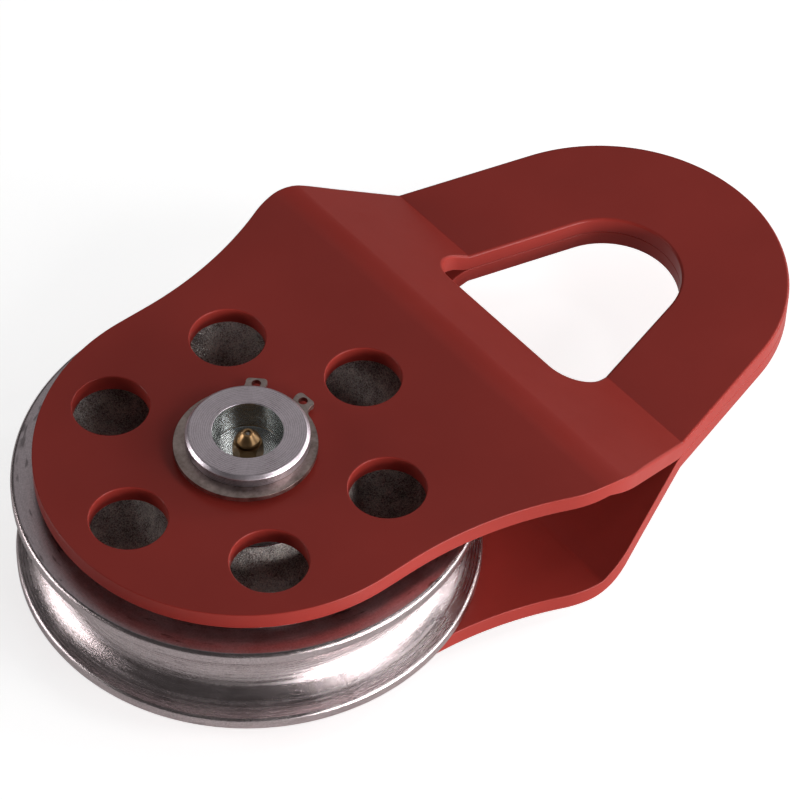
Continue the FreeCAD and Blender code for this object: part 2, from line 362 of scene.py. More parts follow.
def redPaint():
    look = redPaintLook
    material, tree, shader = newMaterial("redPaint")
    place = objectPlace(tree)
    patches = spread(tree, noise(tree, place, look["patchScale"], detail=4), 0, 1)
    colour = blendColours(tree, patches, look["deepRed"], look["lightRed"])
    tree.links.new(colour, shader.inputs["Base Color"])
    wear = noise(tree, place, look["roughScale"], detail=3)
    tree.links.new(spread(tree, wear, look["roughLow"], look["roughHigh"]), shader.inputs["Roughness"])
    shader.inputs["Specular IOR Level"].default_value = look["gloss"]
    bump(tree, shader, noise(tree, place, look["peelScale"]), look["peelDepth"])
    return material


# what all turned surfaces share
turnedLook = {
    "lineTurn": 0.002,          # how fast the tool marks change on their way round
    "breakUp": 1.4,             # grains of noise per tool mark
    "lineTone": 0.3,            # the marks' part in the tone; the clouds fill up what the grain leaves
    "toneRange": (0.34, 0.66),
    "nickTurn": 0.012,
    "nickScale": 620,
    "nickRange": (0.63, 0.70),
    "nickColour": (0.10, 0.085, 0.085),
    "lineWear": 0.4,            # the marks' part in the roughness
}


def latheLines(tree, place, pitch, share):
    # even tool marks, broken up by noise so that no two are alike
    split = tree.nodes.new("ShaderNodeSeparateXYZ")
    tree.links.new(place, split.inputs[0])
    sweep = mathNode(tree, "ADD", split.outputs[0], split.outputs[2])
    waves = mathNode(tree, "SINE", mathNode(tree, "MULTIPLY", sweep, 2 * math.pi / pitch))
    waves = mathNode(tree, "ADD", mathNode(tree, "MULTIPLY", waves, 0.5), 0.5)
    uneven = noise(tree, place, turnedLook["breakUp"] / pitch, detail=3, roughness=0.6)
    return weighted(tree, (waves, share), (uneven, 1 - share))


# dark and light are the plating's two tones; the pitch is that of the tool marks
grooveLook = {
    "dark": (0.40, 0.315, 0.315), "light": (0.82, 0.715, 0.73),
    "pitch": 0.0005, "evenShare": 0.30, "lineDepth": 0.000007,
    "grainScale": 2600, "grainShare": 0.55, "grainDepth": 0.00007, "cloudScale": 60,
    "roughLow": 0.16, "roughHigh": 0.36, "fleck": 0.25,
}
rimFaceLook = {
    "dark": (0.40, 0.335, 0.35), "light": (0.76, 0.665, 0.70),
    "pitch": 0.0004, "evenShare": 0.2, "lineDepth": 0.000005,
    "grainScale": 2200, "grainShare": 0.4, "grainDepth": 0.000010, "cloudScale": 110,
    "roughLow": 0.28, "roughHigh": 0.44, "fleck": 0.6,
}
axleLook = {
    "dark": (0.47, 0.395, 0.43), "light": (0.86, 0.76, 0.82),
    "pitch": 0.00055, "evenShare": 0.5, "lineDepth": 0.00004,
    "grainScale": 2400, "grainShare": 0.3, "grainDepth": 0.000022, "cloudScale": 90,
    "roughLow": 0.24, "roughHigh": 0.44, "fleck": 0.0,
}
# lighter and greener than the axle face: painted light and painted reflection inside the recess
recessPaintedLightLook = {
    "dark": (0.46, 0.465, 0.45), "light": (0.93, 0.95, 0.95),
    "pitch": 0.0005, "evenShare": 0.6, "lineDepth": 0.00006,
    "grainScale": 2200, "grainShare": 0.35, "grainDepth": 0.000010, "cloudScale": 150,
    "roughLow": 0.15, "roughHigh": 0.28, "fleck": 0.2,
}


def turnedZinc(name, look):
    material, tree, shader = newMaterial(name)
    place = objectPlace(tree)
    shared = turnedLook
    lines = latheLines(tree, ringPlace(tree, shared["lineTurn"]), look["pitch"], look["evenShare"])
    grain = noise(tree, place, look["grainScale"], detail=3, roughness=0.65)
    clouds = noise(tree, place, look["cloudScale"], detail=5, roughness=0.6)
    cloudShare = 1 - shared["lineTone"] - look["grainShare"]
    tone = weighted(tree, (lines, shared["lineTone"]), (clouds, cloudShare), (grain, look["grainShare"]))
    lightness = spread(tree, tone, 0, 1, *shared["toneRange"])
    plating = blendColours(tree, lightness, look["dark"], look["light"])
    # short dark nicks that run round with the tool marks
    nicks = noise(tree, ringPlace(tree, shared["nickTurn"]), shared["nickScale"])
    nicked = spread(tree, nicks, 0, look["fleck"], *shared["nickRange"])
    colour = blendColours(tree, nicked, plating, shared["nickColour"])
    tree.links.new(colour, shader.inputs["Base Color"])
    wear = weighted(tree, (lines, shared["lineWear"]), (clouds, 1 - shared["lineWear"]))
    tree.links.new(spread(tree, wear, look["roughLow"], look["roughHigh"]), shader.inputs["Roughness"])
    shader.inputs["Metallic"].default_value = 1
    under = bump(tree, shader, lines, look["lineDepth"])
    bump(tree, shader, grain, look["grainDepth"], under)
    return material


castLook = {
    "dark": (0.14, 0.105, 0.10),
    "light": (0.68, 0.59, 0.55),
    "grainScale": 2300,
    "grainDepth": 0.0004,
    "grainTone": 0.65,          # the grains' part in the tone; the lumps have the rest
    "toneRange": (0.44, 0.60),
    "lumpScale": 220,
    "lumpDepth": 0.0006,
    "glint": 0.60,              # the higher, the fewer grains get the painted glint
    "glintFade": 0.04,
    "glintScale": 2990,
    "paintedGlintColour": (1.0, 0.97, 0.93),
    "roughDull": 0.5,
    "roughGlint": 0.12,
    "metal": 0.6,
}


def castSurface():
    look = castLook
    material, tree, shader = newMaterial("castSurface")
    place = objectPlace(tree)
    grains = noise(tree, place, look["grainScale"], detail=3, roughness=0.7)
    lumps = noise(tree, place, look["lumpScale"], detail=3)
    tone = weighted(tree, (grains, look["grainTone"]), (lumps, 1 - look["grainTone"]))
    lightness = spread(tree, tone, 0, 1, *look["toneRange"])
    skin = blendColours(tree, lightness, look["dark"], look["light"])
    glints = noise(tree, place, look["glintScale"], detail=1)
    shining = spread(tree, glints, 0, 1, look["glint"] - look["glintFade"], look["glint"])
    # grains past the threshold take a near-white colour, a painted glint; their lower roughness below is
    # real shine
    colour = blendColours(tree, shining, skin, look["paintedGlintColour"])
    tree.links.new(colour, shader.inputs["Base Color"])
    rough = spread(tree, shining, look["roughDull"], look["roughGlint"], 0, 1)
    tree.links.new(rough, shader.inputs["Roughness"])
    shader.inputs["Metallic"].default_value = look["metal"]
    under = bump(tree, shader, lumps, look["lumpDepth"])
    bump(tree, shader, grains, look["grainDepth"], under)
    return material


plainLook = {
    "cloudScale": 230,
    "cloudShare": 0.7,
    "toneRange": (0.36, 0.64),
    "roughSpread": 0.07,
}
plainMetals = {
    "ringSteel": {"dark": (0.22, 0.165, 0.150), "light": (0.50, 0.400, 0.370), "rough": 0.34,
                  "grainScale": 1100, "grainDepth": 0.00002},
    "brass": {"dark": (0.36, 0.205, 0.095), "light": (0.52, 0.325, 0.165), "rough": 0.34,
              "grainScale": 700, "grainDepth": 0.000003},
    "bronze": {"dark": (0.42, 0.24, 0.10), "light": (0.52, 0.32, 0.15), "rough": 0.38,
               "grainScale": 900, "grainDepth": 0.00001},
    "washerSteel": {"dark": (0.30, 0.29, 0.29), "light": (0.45, 0.44, 0.44), "rough": 0.34,
                    "grainScale": 1200, "grainDepth": 0.00001},
}


def plainMetal(name):
    look = plainMetals[name]
    material, tree, shader = newMaterial(name)
    place = objectPlace(tree)
    clouds = noise(tree, place, plainLook["cloudScale"], detail=5, roughness=0.65)
    grain = noise(tree, place, look["grainScale"], detail=3)
    tone = weighted(tree, (clouds, plainLook["cloudShare"]), (grain, 1 - plainLook["cloudShare"]))
    lightness = spread(tree, tone, 0, 1, *plainLook["toneRange"])
    colour = blendColours(tree, lightness, look["dark"], look["light"])
    tree.links.new(colour, shader.inputs["Base Color"])
    roughLow = look["rough"] - plainLook["roughSpread"]
    roughHigh = look["rough"] + plainLook["roughSpread"]
    tree.links.new(spread(tree, tone, roughLow, roughHigh), shader.inputs["Roughness"])
    shader.inputs["Metallic"].default_value = 1
    bump(tree, shader, grain, look["grainDepth"])
    return material


paint = redPaint()
sheaveZinc = turnedZinc("sheaveZinc", grooveLook)
rimFaceZinc = turnedZinc("rimFaceZinc", rimFaceLook)
axleZinc = turnedZinc("axleZinc", axleLook)
# a lighter, greener zinc for the recess: painted light and painted reflection
recessZincPaintedLight = turnedZinc("recessZincPaintedLight", recessPaintedLightLook)
cast = castSurface()
ringSteel = plainMetal("ringSteel")
brass = plainMetal("brass")
bronze = plainMetal("bronze")
washerSteel = plainMetal("washerSteel")
print("materials made")


# Cheek plates

cheek = {
    "thickness": 0.005,
    "middle": 0.0273,           # the plane where the two eyes meet
    "discTop": 0.0498,
    "noseRadius": 0.055,
    "noseRun": 0.0087,
    "flareRadius": 0.107,
    "shoulderRadius": 0.030,
    "shoulderHalfWidth": 0.0673,
    "eyeHalfWidth": 0.0584,     # where the plate bends level again
    "slopeStart": 0.0654,
    "slopeEnd": 0.0984,
    "shoulderBend": 0.020,      # outer radius of the wide bend
    "shoulderCrease": 0.003,    # its inner radius, much tighter
    "eyeBend": 0.001,
    "eyeCentre": 0.124,
    "eyeOuterRadius": 0.0495,
    "eyeBand": 0.0294,
    "eyeBase": 0.0848,
    "eyeCorner": 0.0085,
    "holeCount": 6,
    "holeRadius": 0.010,
    "holeCircle": 0.038,
    "boreRadius": 0.01608,
    "sharpEdge": 0.0003,        # nose, flares and shoulders, and all edges that face inwards
    "softEdge": 0.0008,         # outer edges of slope and eye
    "softFrom": 0.0705,         # the edge grows softer between these two places
    "softTo": 0.082,
    "sharpAngle": 60,
    "holeEdge": 0.00035,
    "cutterHeight": 0.1,
    "cutterBeyond": 0.002,
}


def tangentNormal(centre, radius, point, side):
    # angle of the normal where a line from the point touches the circle, on its +Y side
    away = point - centre
    return math.atan2(away.y, away.x) + side * math.acos(radius / away.length)


def slopeAngle():
    spec = cheek
    drop = spec["discTop"] - spec["middle"] - spec["thickness"]
    return math.atan2(drop, spec["slopeEnd"] - spec["slopeStart"])


def cheekCorners():
    # centres of flare and shoulder, the place of the side's slight corner, and the normals of its two parts
    spec = cheek
    shoulderY = spec["shoulderHalfWidth"] - spec["shoulderRadius"]
    reach = spec["flareRadius"] + spec["shoulderRadius"]
    flare = Vector((spec["noseRun"], spec["noseRadius"] + spec["flareRadius"], 0))
    shoulder = Vector((spec["noseRun"] + math.sqrt(reach ** 2 - (flare.y - shoulderY) ** 2), shoulderY, 0))
    eye = Vector((spec["eyeCentre"], 0, 0))
    bendEnd = spec["slopeEnd"] + spec["eyeBend"] * math.tan(slopeAngle() / 2)
    kink = Vector((bendEnd, spec["eyeHalfWidth"], 0))
    slopeNormal = tangentNormal(shoulder, spec["shoulderRadius"], kink, 1)
    eyeNormal = tangentNormal(eye, spec["eyeOuterRadius"], kink, -1)
    return flare, shoulder, kink, slopeNormal, eyeNormal


def cheekOutline():
    spec = cheek
    flare, shoulder, kink, slopeNormal, eyeNormal = cheekCorners()
    towards = shoulder - flare
    flareEnd = math.atan2(towards.y, towards.x)
    eye = Vector((spec["eyeCentre"], 0, 0))
    half = arcPoints(Vector((0, 0, 0)), spec["noseRadius"], math.pi, math.pi / 2, steps=36)
    half += arcPoints(flare, spec["flareRadius"], -math.pi / 2, flareEnd, steps=24)
    half += arcPoints(shoulder, spec["shoulderRadius"], flareEnd + math.pi, slopeNormal, steps=13)[1:]
    # short steps down the straight side let its edge grow softer bit by bit
    sideStart = half[-1]
    sideSteps = 8
    half += [sideStart.lerp(kink, step / sideSteps) for step in range(1, sideSteps + 1)]
    half += arcPoints(eye, spec["eyeOuterRadius"], eyeNormal, 0, steps=40)
    other = [Vector((point.x, -point.y, 0)) for point in reversed(half[1:-1])]
    return half + other


def eyeOutline():
    spec = cheek
    *_, normalAngle = cheekCorners()
    heading = normalAngle - math.pi / 2
    radius = spec["eyeOuterRadius"] - spec["eyeBand"]
    eye = Vector((spec["eyeCentre"], 0, 0))
    arch = arcPoints(eye, radius, normalAngle, -normalAngle, steps=48)
    sideEnd = arch[0]
    base = spec["eyeBase"]
    baseY = sideEnd.y + (base - sideEnd.x) * math.tan(heading)
    corners = [(sideEnd.x, sideEnd.y, 0), (base, baseY, spec["eyeCorner"]),
               (base, -baseY, spec["eyeCorner"]), (sideEnd.x, -sideEnd.y, 0)]
    return arch + list(reversed(roundedPath(corners, steps=12)[1:-1]))


def bentStrip():
    # the side view of the upper cheek, pulled across, with its four bend edges rounded
    spec = cheek
    eyeTop = spec["middle"] + spec["thickness"]
    halfTurn = math.tan(slopeAngle() / 2)
    shift = spec["thickness"] * halfTurn
    inner = spec["discTop"] - spec["thickness"]
    back = -spec["noseRadius"] - spec["thickness"]
    front = spec["eyeCentre"] + spec["eyeOuterRadius"] + spec["thickness"]
    halfWidth = spec["shoulderHalfWidth"] + spec["thickness"]
    side = [
        (back, spec["discTop"]), (spec["slopeStart"], spec["discTop"]),
        (spec["slopeEnd"], eyeTop), (front, eyeTop), (front, spec["middle"]),
        (spec["slopeEnd"] - shift, spec["middle"]), (spec["slopeStart"] - shift, inner), (back, inner),
    ]
    strip = drawPath("strip", [Vector((x, -halfWidth, z)) for x, z in side])
    pullFaces(strip, (0, 2 * halfWidth, 0))
    bends = [(side[1], spec["shoulderBend"], 8), (side[6], spec["shoulderCrease"], 4),
             (side[2], spec["eyeBend"], 6), (side[5], spec["eyeBend"] + spec["thickness"], 6)]
    for (x, z), radius, segments in bends:
        corner = Vector((x, 0, z))
        selectEdges(strip, lambda a, b: all(
            (Vector((end.x, 0, end.z)) - corner).length < 1e-5 for end in (a, b)))
        bevelSelected(radius * halfTurn, segments)
    return strip


def roundEdges(piece):
    # each cut edge gets its own share of the widest round, then one bevel makes them all
    spec = cheek
    widest = spec["softEdge"]
    enterEdit(piece, "EDGE", "DESELECT")
    bpy.ops.mesh.edges_select_sharp(sharpness=math.radians(spec["sharpAngle"]))
    leaveEdit()
    points = [vertex.co.copy() for vertex in piece.data.vertices]
    groups = {}
    for edge in piece.data.edges:
        if not edge.select:
            continue
        middle = (points[edge.vertices[0]] + points[edge.vertices[1]]) / 2
        share = shareBetween(middle.x, spec["softFrom"], spec["softTo"])
        width = spec["sharpEdge"] + (spec["softEdge"] - spec["sharpEdge"]) * share
        if isInnerFace(middle):
            width = spec["sharpEdge"]
        groups.setdefault(round(width / widest, 2), set()).add(edge.index)
    for weight, members in groups.items():
        for edge in piece.data.edges:
            edge.select = edge.index in members
        bpy.ops.object.mode_set(mode="EDIT")
        bpy.ops.transform.edge_bevelweight(value=weight)
        leaveEdit()
    bevelPiece(piece, widest, segments=4)


def isInnerFace(point):
    # edges of the face that looks towards the other cheek
    spec = cheek
    eyeTop = spec["middle"] + spec["thickness"]
    share = shareBetween(point.x, spec["slopeStart"], spec["slopeEnd"])
    outerLevel = spec["discTop"] + (eyeTop - spec["discTop"]) * share
    return point.z < outerLevel - spec["thickness"] / 2


def holeCutter(name, radius, place, steps):
    # a cutter that flares at both faces, so that it leaves rounded rims
    spec = cheek
    edge = spec["holeEdge"]
    wide = radius + edge
    top = spec["discTop"]
    low = top - spec["thickness"]
    beyond = spec["cutterBeyond"]
    path = [Vector((0, top + beyond, 0)), Vector((wide, top + beyond, 0))]
    path += arcPoints(Vector((wide, top - edge, 0)), edge, math.pi / 2, math.pi, steps=5)
    path += arcPoints(Vector((wide, low + edge, 0)), edge, math.pi, math.pi * 1.5, steps=5)
    path += [Vector((wide, low - beyond, 0)), Vector((0, low - beyond, 0))]
    piece = spinPath(name, path, steps)
    piece.location = place
    applyTransform(piece)
    return piece


def upperCheek():
    spec = cheek
    piece = bentStrip()
    piece.name = "upperCheekPlate"
    combine(piece, prism("outline", cheekOutline(), 0, spec["cutterHeight"]), "INTERSECT")
    combine(piece, prism("eye", eyeOutline(), 0, spec["cutterHeight"]), "DIFFERENCE")
    tidyMesh(piece, mergeDistance=2e-5)
    roundEdges(piece)
    combine(piece, holeCutter("bore", spec["boreRadius"], Vector((0, 0, 0)), steps=96), "DIFFERENCE")
    for index in range(spec["holeCount"]):
        angle = 2 * math.pi * index / spec["holeCount"]
        place = Vector((math.cos(angle), math.sin(angle), 0)) * spec["holeCircle"]
        combine(piece, holeCutter("hole", spec["holeRadius"], place, steps=64), "DIFFERENCE")
    tidyMesh(piece)
    smooth(piece)
    return piece


def lowerCheek(original):
    # the same plate, mirrored through the plane where the eyes meet
    makeActive(original)
    bpy.ops.object.duplicate()
    piece = bpy.context.object
    piece.name = "lowerCheekPlate"
    piece.scale = (1, 1, -1)
    piece.location = (0, 0, 2 * cheek["middle"])
    applyTransform(piece)
    tidyMesh(piece)
    smooth(piece)
    return piece


upper = upperCheek()
lower = lowerCheek(upper)
finishPiece(upper, "upper_cheek", "red_paint", paint, "upper_cheek")
finishPiece(lower, "lower_cheek", "red_paint", paint, "lower_cheek")
print("cheek plates made")


# Sheave

wheel = {
    "middle": 0.02605,
    "radius": 0.061,
    "rimWidth": 0.0303,
    "grooveRoot": 0.0515,
    "grooveWidth": 0.0227,
    "rimFaceInner": 0.052,
    "rimWallInner": 0.044,
    "webThickness": 0.009,
    "hubRadius": 0.026,
    "hubFoot": 0.0285,
    "hubWidth": 0.0295,
    "boreRadius": 0.01905,
    "lipOuterRound": 0.0012,
    "lipInnerRound": 0.0012,
    "webFillet": 0.003,
    "edgeBreak": 0.0004,
}


def sheaveWheel():
    spec = wheel
    halfRim = spec["rimWidth"] / 2
    halfWeb = spec["webThickness"] / 2
    halfHub = spec["hubWidth"] / 2
    halfGroove = spec["grooveWidth"] / 2
    depth = spec["radius"] - spec["grooveRoot"]
    grooveArc = (halfGroove ** 2 + depth ** 2) / (2 * depth)
    side = [
        (spec["boreRadius"], halfHub, spec["edgeBreak"]),
        (spec["hubRadius"], halfHub, spec["edgeBreak"]),
        (spec["hubFoot"], halfWeb, spec["webFillet"]),
        (spec["rimWallInner"], halfWeb, spec["webFillet"]),
        (spec["rimFaceInner"], halfRim, spec["edgeBreak"]),
        (spec["radius"], halfRim, spec["lipOuterRound"]),
        (spec["radius"], halfGroove, spec["lipInnerRound"]),
    ]
    # the groove, from its upper lip down to its lower lip
    centre = Vector((spec["grooveRoot"] + grooveArc, 0, 0))
    lip = math.atan2(halfGroove, spec["radius"] - centre.x)
    arc = arcPoints(centre, grooveArc, lip, 2 * math.pi - lip, steps=40)[1:-1]
    corners = side + [(point.x, point.y, 0) for point in arc]
    corners += [(radius, -height, turn) for radius, height, turn in reversed(side)]
    points = [point + Vector((0, spec["middle"], 0)) for point in roundedPath(corners, steps=6)]
    piece = spinPath("sheaveWheel", points, steps=200)
    smooth(piece, angle=30)
    return piece


def markFaces(piece):
    # web, drafted rim wall and hub keep the cast skin; the rim's flat side faces are turned smooth
    spec = wheel
    piece.data.materials.append(cast)
    piece.data.materials.append(rimFaceZinc)
    castIndex, rimFaceIndex = 1, 2
    near = 1e-4
    faceLevel = spec["rimWidth"] / 2 - near
    faceStart = spec["rimFaceInner"] - near
    for face in piece.data.polygons:
        radius = math.hypot(face.center.x, face.center.y)
        level = abs(face.center.z - spec["middle"])
        outward = Vector((face.center.x, face.center.y, 0)).normalized()
        inGroove = face.normal.dot(outward) > 0 and radius > spec["grooveRoot"] - 2 * near
        if level > faceLevel and radius > faceStart:
            face.material_index = rimFaceIndex
        elif spec["hubRadius"] + near < radius < faceStart and level < faceLevel and not inGroove:
            face.material_index = castIndex


sheavePiece = sheaveWheel()
finishPiece(sheavePiece, "sheave", "sheave_zinc", sheaveZinc, "sheave")
markFaces(sheavePiece)
print("sheave made")


# Axle

axleSizes = {
    "radius": 0.016,
    "length": 0.056,
    "chamfer": 0.0009,
    "chamferRound": 0.0006,
    "edgeBreak": 0.0002,
    "recessRadius": 0.00915,
    "recessDepth": 0.0088,
    "floorRound": 0.0006,
    "grooveRadius": 0.01515,
    "grooveHeight": 0.0016,
    "lowerGroove": 0.0033,
    "upperGroove": 0.0511,
    "threadRadius": 0.003,
    "threadDepth": 0.0065,
    "drilling": 0.002,
    "portLevel": 0.02605,
    "portReach": 0.0192,        # the cross drilling's length, to just past the axle's surface
}


def axlePin():
    spec = axleSizes
    radius = spec["radius"]
    small = spec["edgeBreak"]
    top = spec["length"]
    floorLevel = top - spec["recessDepth"]
    soft = spec["chamferRound"]
    corners = [(0, 0, 0), (radius - spec["chamfer"], 0, soft), (radius, spec["chamfer"], soft)]
    for bottom in (spec["lowerGroove"], spec["upperGroove"]):
        corners += [(radius, bottom, 0), (spec["grooveRadius"], bottom, 0),
                    (spec["grooveRadius"], bottom + spec["grooveHeight"], 0),
                    (radius, bottom + spec["grooveHeight"], 0)]
    corners += [
        (radius, top - spec["chamfer"], soft), (radius - spec["chamfer"], top, soft),
        (spec["recessRadius"], top, small),
        (spec["recessRadius"], floorLevel, spec["floorRound"]),
        (spec["threadRadius"], floorLevel, 0),
        (spec["threadRadius"], floorLevel - spec["threadDepth"], 0),
        (0, floorLevel - spec["threadDepth"], 0),
    ]
    piece = spinPath("axleTurned", roundedPath(corners, steps=4), steps=128)
    # grease runs down from the nipple and out to the bush
    centre = Vector((0, 0, 0))
    downLength = floorLevel - spec["threadDepth"] - spec["portLevel"] + 2 * spec["drilling"]
    down = post("down", spec["drilling"], centre, spec["portLevel"] - spec["drilling"], downLength, sides=32)
    combine(piece, down, "DIFFERENCE")
    across = post("across", spec["drilling"], centre, 0, spec["portReach"], sides=32)
    makeActive(across)
    bpy.ops.transform.rotate(value=math.radians(90), orient_axis="Y", center_override=(0, 0, 0))
    bpy.ops.transform.translate(value=(0, 0, spec["portLevel"]))
    applyTransform(across)
    combine(piece, across, "DIFFERENCE")
    tidyMesh(piece)
    smooth(piece, angle=30)
    return piece


def markRecess(piece):
    # the recess faces get their own turned zinc, lighter and a little greener than the plated face: painted
    # light and painted reflection inside the recess
    spec = axleSizes
    piece.data.materials.append(recessZincPaintedLight)
    near = 1e-5
    mouth = spec["length"] - spec["edgeBreak"]
    floorLevel = spec["length"] - spec["recessDepth"]
    for face in piece.data.polygons:
        radius = math.hypot(face.center.x, face.center.y)
        if radius < spec["recessRadius"] + near and floorLevel - near < face.center.z < mouth:
            face.material_index = 1


axlePiece = axlePin()
finishPiece(axlePiece, "axle", "axle_zinc", axleZinc, "axle_pin")
markRecess(axlePiece)
print("axle made")


# Retaining rings

ringSizes = {
    "thickness": 0.0015,
    "innerRadius": 0.01515,
    "backWidth": 0.0046,
    "frontWidth": 0.0021,
    "heading": 24.7,
    "lugAngle": 20.7,
    "lugReach": 0.0058,
    "lugWidth": 0.0056,
    "lugCorner": 0.0011,
    "rootRound": 0.0026,
    "pliersRadius": 0.00125,
    "pliersReach": 0.0039,
    "edgeRound": 0.00014,
    "lowerLevel": 0.0033,
    "upperLevel": 0.0511,
}


def ringOutline():
    # one half from the back over the lug to the gap and back along the inner circle, then its mirror image
    spec = ringSizes
    inner = spec["innerRadius"]
    outer = inner + (spec["backWidth"] + spec["frontWidth"]) / 2
    offset = (spec["backWidth"] - spec["frontWidth"]) / 2
    half = spec["lugWidth"] / 2
    turn = spec["rootRound"]
    tip = inner + spec["lugReach"]
    lugAngle = math.radians(spec["lugAngle"])
    gapHalf = lugAngle * (inner + spec["pliersReach"]) - half
    ringCentre = Vector((-offset, 0, 0))
    # the lug and its hollow root are laid out along X, with the ring's centre seen from there, then turned
    seen = Vector((-offset * math.cos(lugAngle), offset * math.sin(lugAngle), 0))
    along = seen.x + math.sqrt((outer + turn) ** 2 - (half + turn - seen.y) ** 2)
    rootCentre = Vector((along, half + turn, 0))
    inwards = seen - rootCentre
    root = arcPoints(rootCentre, turn, math.atan2(inwards.y, inwards.x), -math.pi / 2, steps=10)
    gapStart = (gapHalf + half * math.cos(lugAngle)) / math.sin(lugAngle)
    lug = roundedPath([(along, half, 0), (tip, half, spec["lugCorner"]),
                       (tip, -half, spec["lugCorner"]), (gapStart, -half, 0)], steps=6)
    turned = [Vector((point.x * math.cos(lugAngle) - point.y * math.sin(lugAngle),
                      point.x * math.sin(lugAngle) + point.y * math.cos(lugAngle), 0))
              for point in root + lug[1:]]
    meeting = turned[0] - ringCentre
    path = arcPoints(ringCentre, outer, math.pi, math.atan2(meeting.y, meeting.x), steps=80)[:-1] + turned
    path += arcPoints(Vector((0, 0, 0)), inner, math.asin(gapHalf / inner), math.pi, steps=64)
    other = [Vector((point.x, -point.y, 0)) for point in reversed(path[1:-1])]
    return path + other


def retainingRing(name, level):
    spec = ringSizes
    height = spec["thickness"]
    reach = spec["innerRadius"] + spec["pliersReach"]
    lugAngle = math.radians(spec["lugAngle"])
    piece = prism(name, ringOutline(), 0, height)
    bevelPiece(piece, spec["edgeRound"], segments=2, angle=50)
    for side in (1, -1):
        place = Vector((math.cos(side * lugAngle), math.sin(side * lugAngle), 0)) * reach
        hole = post("pliers", spec["pliersRadius"], place, -height, 3 * height, sides=32)
        combine(piece, hole, "DIFFERENCE")
    tidyMesh(piece)
    piece.location = (0, 0, level)
    turnAboutAxle(piece, spec["heading"])
    smooth(piece, angle=40)
    return piece


for ringName, ringLevel, ringNode in (("upperRing", ringSizes["upperLevel"], "upper_circlip"),
                                      ("lowerRing", ringSizes["lowerLevel"], "lower_circlip")):
    ringPiece = retainingRing(ringName, ringLevel)
    finishPiece(ringPiece, "axle", "spring_steel", ringSteel, ringNode)
print("retaining rings made")


# Grease nipple

nippleSizes = {
    "floor": 0.0472,
    "flats": 0.007,
    "hexHeight": 0.0046,
    "hexHeading": 22.9,
    "bevelDepth": 0.0012,
    "neckRadius": 0.0023,
    "neckHeight": 0.0004,
    "neckRound": 0.0001,
    "headRadius": 0.00325,
    "headFootRound": 0.00025,
    "headBand": 0.0007,
    "headHeight": 0.0029,
    "headRound": 0.0012,
    "tipRadius": 0.00155,
    "tipEdge": 0.0002,
    "tipWall": 0.0005,
    "tipHole": 0.00085,
    "boreRadius": 0.00135,
    "shankRadius": 0.003,
    "shankEnd": 0.0417,
    "leadIn": 0.0005,
    "crimpWall": 0.0005,
    "crimpHole": 0.0008,
    "edgeRound": 0.00008,
    "overlap": 0.001,           # how far joined solids and cutters reach into each other
    "skin": 0.0001,
}


def nippleHead():
    spec = nippleSizes
    hexTop = spec["floor"] + spec["hexHeight"]
    under = hexTop + spec["neckHeight"]
    tip = under + spec["headHeight"]
    corners = [
        (0, hexTop - spec["overlap"], 0),
        (spec["neckRadius"], hexTop - spec["overlap"], 0),
        (spec["neckRadius"], under, spec["neckRound"]),
        (spec["headRadius"], under, spec["headFootRound"]),
        (spec["headRadius"], under + spec["headBand"], spec["headRound"]),
        (spec["tipRadius"], tip - spec["tipEdge"], spec["tipEdge"]),
        (spec["tipRadius"] - spec["tipEdge"], tip, spec["tipEdge"] / 2),
        (0, tip, 0),
    ]
    return spinPath("nippleHead", roundedPath(corners, steps=6), steps=72)


def greaseNipple():
    spec = nippleSizes
    corner = spec["flats"] / 2 / math.cos(math.pi / 6)
    hexTop = spec["floor"] + spec["hexHeight"]
    tip = hexTop + spec["neckHeight"] + spec["headHeight"]
    overlap = spec["overlap"]
    skin = spec["skin"]
    centre = Vector((0, 0, 0))
    piece = post("greaseNippleBody", corner, centre, spec["floor"], spec["hexHeight"], sides=6)
    selectEdges(piece, lambda a, b: abs(a.z - b.z) > overlap)
    bevelSelected(spec["edgeRound"] * 2, segments=3)
    # the hexagon's top corners are turned down at a slant
    slantStart = hexTop - spec["bevelDepth"]
    lead = spinPath("lead", [
        Vector((0, spec["floor"] - overlap, 0)), Vector((corner + overlap, spec["floor"] - overlap, 0)),
        Vector((corner + overlap, slantStart - skin, 0)), Vector((corner, slantStart, 0)),
        Vector((spec["flats"] / 2, hexTop, 0)), Vector((0, hexTop + skin, 0))], steps=72)
    combine(piece, lead, "INTERSECT")
    turnAboutAxle(piece, spec["hexHeading"] + 30)
    combine(piece, nippleHead(), "UNION")
    shankEnd = spec["shankEnd"]
    shankTop = spec["floor"] + overlap
    shank = spinPath("shank", [
        Vector((0, shankEnd, 0)), Vector((spec["shankRadius"] - spec["leadIn"], shankEnd, 0)),
        Vector((spec["shankRadius"], shankEnd + spec["leadIn"], 0)),
        Vector((spec["shankRadius"], shankTop, 0)), Vector((0, shankTop, 0))], steps=48)
    combine(piece, shank, "UNION")
    # the valve's bore, its crimped lower end and the mouth at the tip
    wallTop = tip - spec["tipWall"]
    boreStart = shankEnd + spec["crimpWall"]
    for name, radius, bottom, height, sides in (
            ("bore", spec["boreRadius"], boreStart, wallTop - boreStart, 32),
            ("crimp", spec["crimpHole"], shankEnd - overlap, 2 * overlap, 24),
            ("mouth", spec["tipHole"], wallTop - skin, overlap, 32)):
        combine(piece, post(name, radius, centre, bottom, height, sides), "DIFFERENCE")
    tidyMesh(piece)
    holeRim = spec["tipHole"]
    selectEdges(piece, lambda a, b: all(
        abs(end.z - tip) < 1e-6 and abs(math.hypot(end.x, end.y) - holeRim) < 1e-5 for end in (a, b)))
    bevelSelected(spec["edgeRound"], segments=2)
    tidyMesh(piece)
    smooth(piece, angle=32)
    return piece


nipple = greaseNipple()
finishPiece(nipple, "axle", "nipple_brass", brass, "grease_nipple")
print("grease nipple made")


# Valve spring

springSizes = {
    "wireRadius": 0.00016,
    "coilRadius": 0.00107,
    "foot": 0.0422,
    "head": 0.053013,           # touches the ball
    "turns": 5,
    "ballTravel": 0.0009,
}


